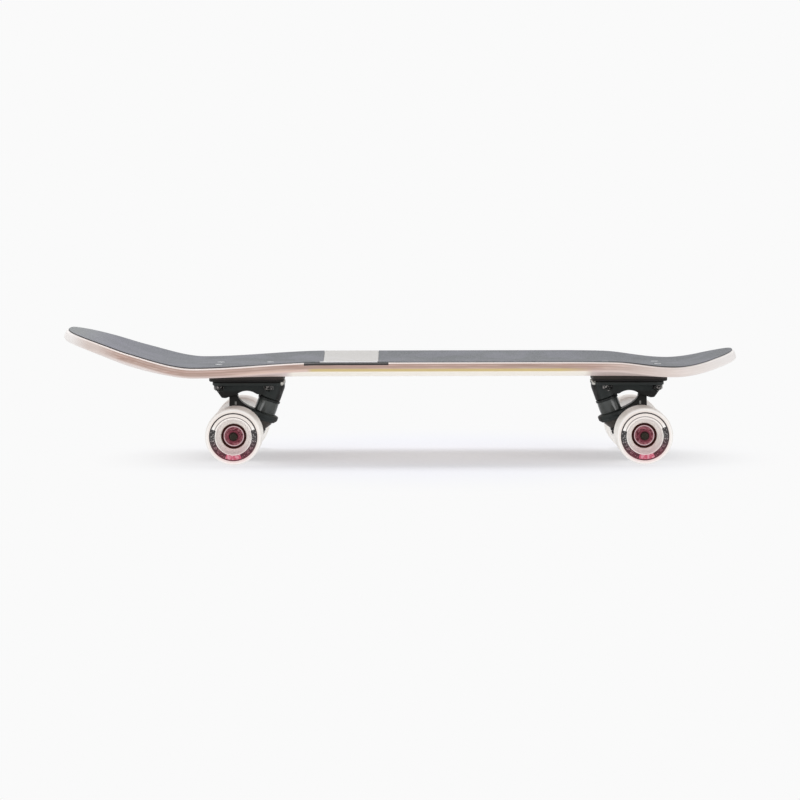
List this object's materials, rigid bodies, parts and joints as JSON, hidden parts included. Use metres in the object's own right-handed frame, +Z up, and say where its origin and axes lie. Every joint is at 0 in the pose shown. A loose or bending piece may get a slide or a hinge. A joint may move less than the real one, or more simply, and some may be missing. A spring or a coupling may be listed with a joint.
{
  "type": "cruiser skateboard",
  "caption": "Cruiser skateboard with a concave maple deck kicked up at both ends, grip tape, sprung kingpin trucks that steer as the deck leans, and soft wheels on ball bearings.",
  "frame": {"origin": "on the ground under the middle of the board, where the wheels stand", "axes": "+X to the nose, +Y to the board's left side, +Z up"},
  "size_m": [0.7293, 0.2046, 0.1418],
  "materials": {
    "maple": "clear lacquer",
    "grip_tape": "coarse grit",
    "pale_grip_tape": "coarse grit",
    "riser_rubber": "matte",
    "black_truck_paint": "satin",
    "pivot_cup_plastic": "smooth",
    "bushing_plastic": "satin",
    "black_washer_steel": "satin",
    "black_bolt_steel": "satin",
    "axle_steel": "dark oxide",
    "cast_wheel_plastic": "satin",
    "red_bearing_shield": "gloss"
  },
  "bodies": {
    "board": {"deck": "maple", "grip_rear": "grip_tape", "grip_band": "pale_grip_tape", "grip_front": "grip_tape", "rear_riser_pad": "riser_rubber", "rear_baseplate": "black_truck_paint", "rear_pivot_cup": "pivot_cup_plastic", "rear_kingpin": "black_bolt_steel", "rear_upper_washer": "black_washer_steel", "rear_upper_bushing": "bushing_plastic", "rear_lower_bushing": "bushing_plastic", "rear_lower_washer": "black_washer_steel", "rear_kingpin_nut": "black_bolt_steel", "rear_deck_bolt_1": "black_bolt_steel", "rear_deck_bolt_2": "black_bolt_steel", "rear_deck_bolt_3": "black_bolt_steel", "rear_deck_bolt_4": "black_bolt_steel", "front_riser_pad": "riser_rubber", "front_baseplate": "black_truck_paint", "front_pivot_cup": "pivot_cup_plastic", "front_kingpin": "black_bolt_steel", "front_upper_washer": "black_washer_steel", "front_upper_bushing": "bushing_plastic", "front_lower_bushing": "bushing_plastic", "front_lower_washer": "black_washer_steel", "front_kingpin_nut": "black_bolt_steel", "front_deck_bolt_1": "black_bolt_steel", "front_deck_bolt_2": "black_bolt_steel", "front_deck_bolt_3": "black_bolt_steel", "front_deck_bolt_4": "black_bolt_steel"},
    "rear_hanger_body": {"rear_hanger": "black_truck_paint", "rear_axle": "axle_steel", "rear_left_race_stack": "axle_steel", "rear_left_speed_washer": "axle_steel", "rear_left_axle_nut": "black_bolt_steel", "rear_right_race_stack": "axle_steel", "rear_right_speed_washer": "axle_steel", "rear_right_axle_nut": "black_bolt_steel"},
    "rear_left_wheel_body": {"rear_left_wheel": "cast_wheel_plastic", "rear_left_inner_bearing": "red_bearing_shield", "rear_left_outer_bearing": "red_bearing_shield"},
    "rear_right_wheel_body": {"rear_right_wheel": "cast_wheel_plastic", "rear_right_inner_bearing": "red_bearing_shield", "rear_right_outer_bearing": "red_bearing_shield"},
    "front_hanger_body": {"front_hanger": "black_truck_paint", "front_axle": "axle_steel", "front_left_race_stack": "axle_steel", "front_left_speed_washer": "axle_steel", "front_left_axle_nut": "black_bolt_steel", "front_right_race_stack": "axle_steel", "front_right_speed_washer": "axle_steel", "front_right_axle_nut": "black_bolt_steel"},
    "front_left_wheel_body": {"front_left_wheel": "cast_wheel_plastic", "front_left_inner_bearing": "red_bearing_shield", "front_left_outer_bearing": "red_bearing_shield"},
    "front_right_wheel_body": {"front_right_wheel": "cast_wheel_plastic", "front_right_inner_bearing": "red_bearing_shield", "front_right_outer_bearing": "red_bearing_shield"}
  },
  "joints": [
    {"name": "rear_steering", "type": "hinge", "parent": "board", "child": "rear_hanger_body", "pos_m": [-0.1501, 0, 0.0446], "axis": [0.7876, 0, -0.6162], "range_deg": [-15, 15], "stiffness_Nm_per_rad": 45, "deforming": ["rear_upper_bushing", "rear_lower_bushing"]},
    {"name": "rear_left_wheel_spin", "type": "hinge", "parent": "rear_hanger_body", "child": "rear_left_wheel_body", "pos_m": [-0.1771, 0.0783, 0.03], "axis": [0, 1, 0], "continuous": true},
    {"name": "rear_right_wheel_spin", "type": "hinge", "parent": "rear_hanger_body", "child": "rear_right_wheel_body", "pos_m": [-0.1771, -0.0783, 0.03], "axis": [0, 1, 0], "continuous": true},
    {"name": "front_steering", "type": "hinge", "parent": "board", "child": "front_hanger_body", "pos_m": [0.2311, 0, 0.0446], "axis": [-0.7876, 0, -0.6162], "range_deg": [-15, 15], "stiffness_Nm_per_rad": 45, "deforming": ["front_upper_bushing", "front_lower_bushing"]},
    {"name": "front_left_wheel_spin", "type": "hinge", "parent": "front_hanger_body", "child": "front_left_wheel_body", "pos_m": [0.2581, 0.0783, 0.03], "axis": [0, 1, 0], "continuous": true},
    {"name": "front_right_wheel_spin", "type": "hinge", "parent": "front_hanger_body", "child": "front_right_wheel_body", "pos_m": [0.2581, -0.0783, 0.03], "axis": [0, 1, 0], "continuous": true}
  ]
}
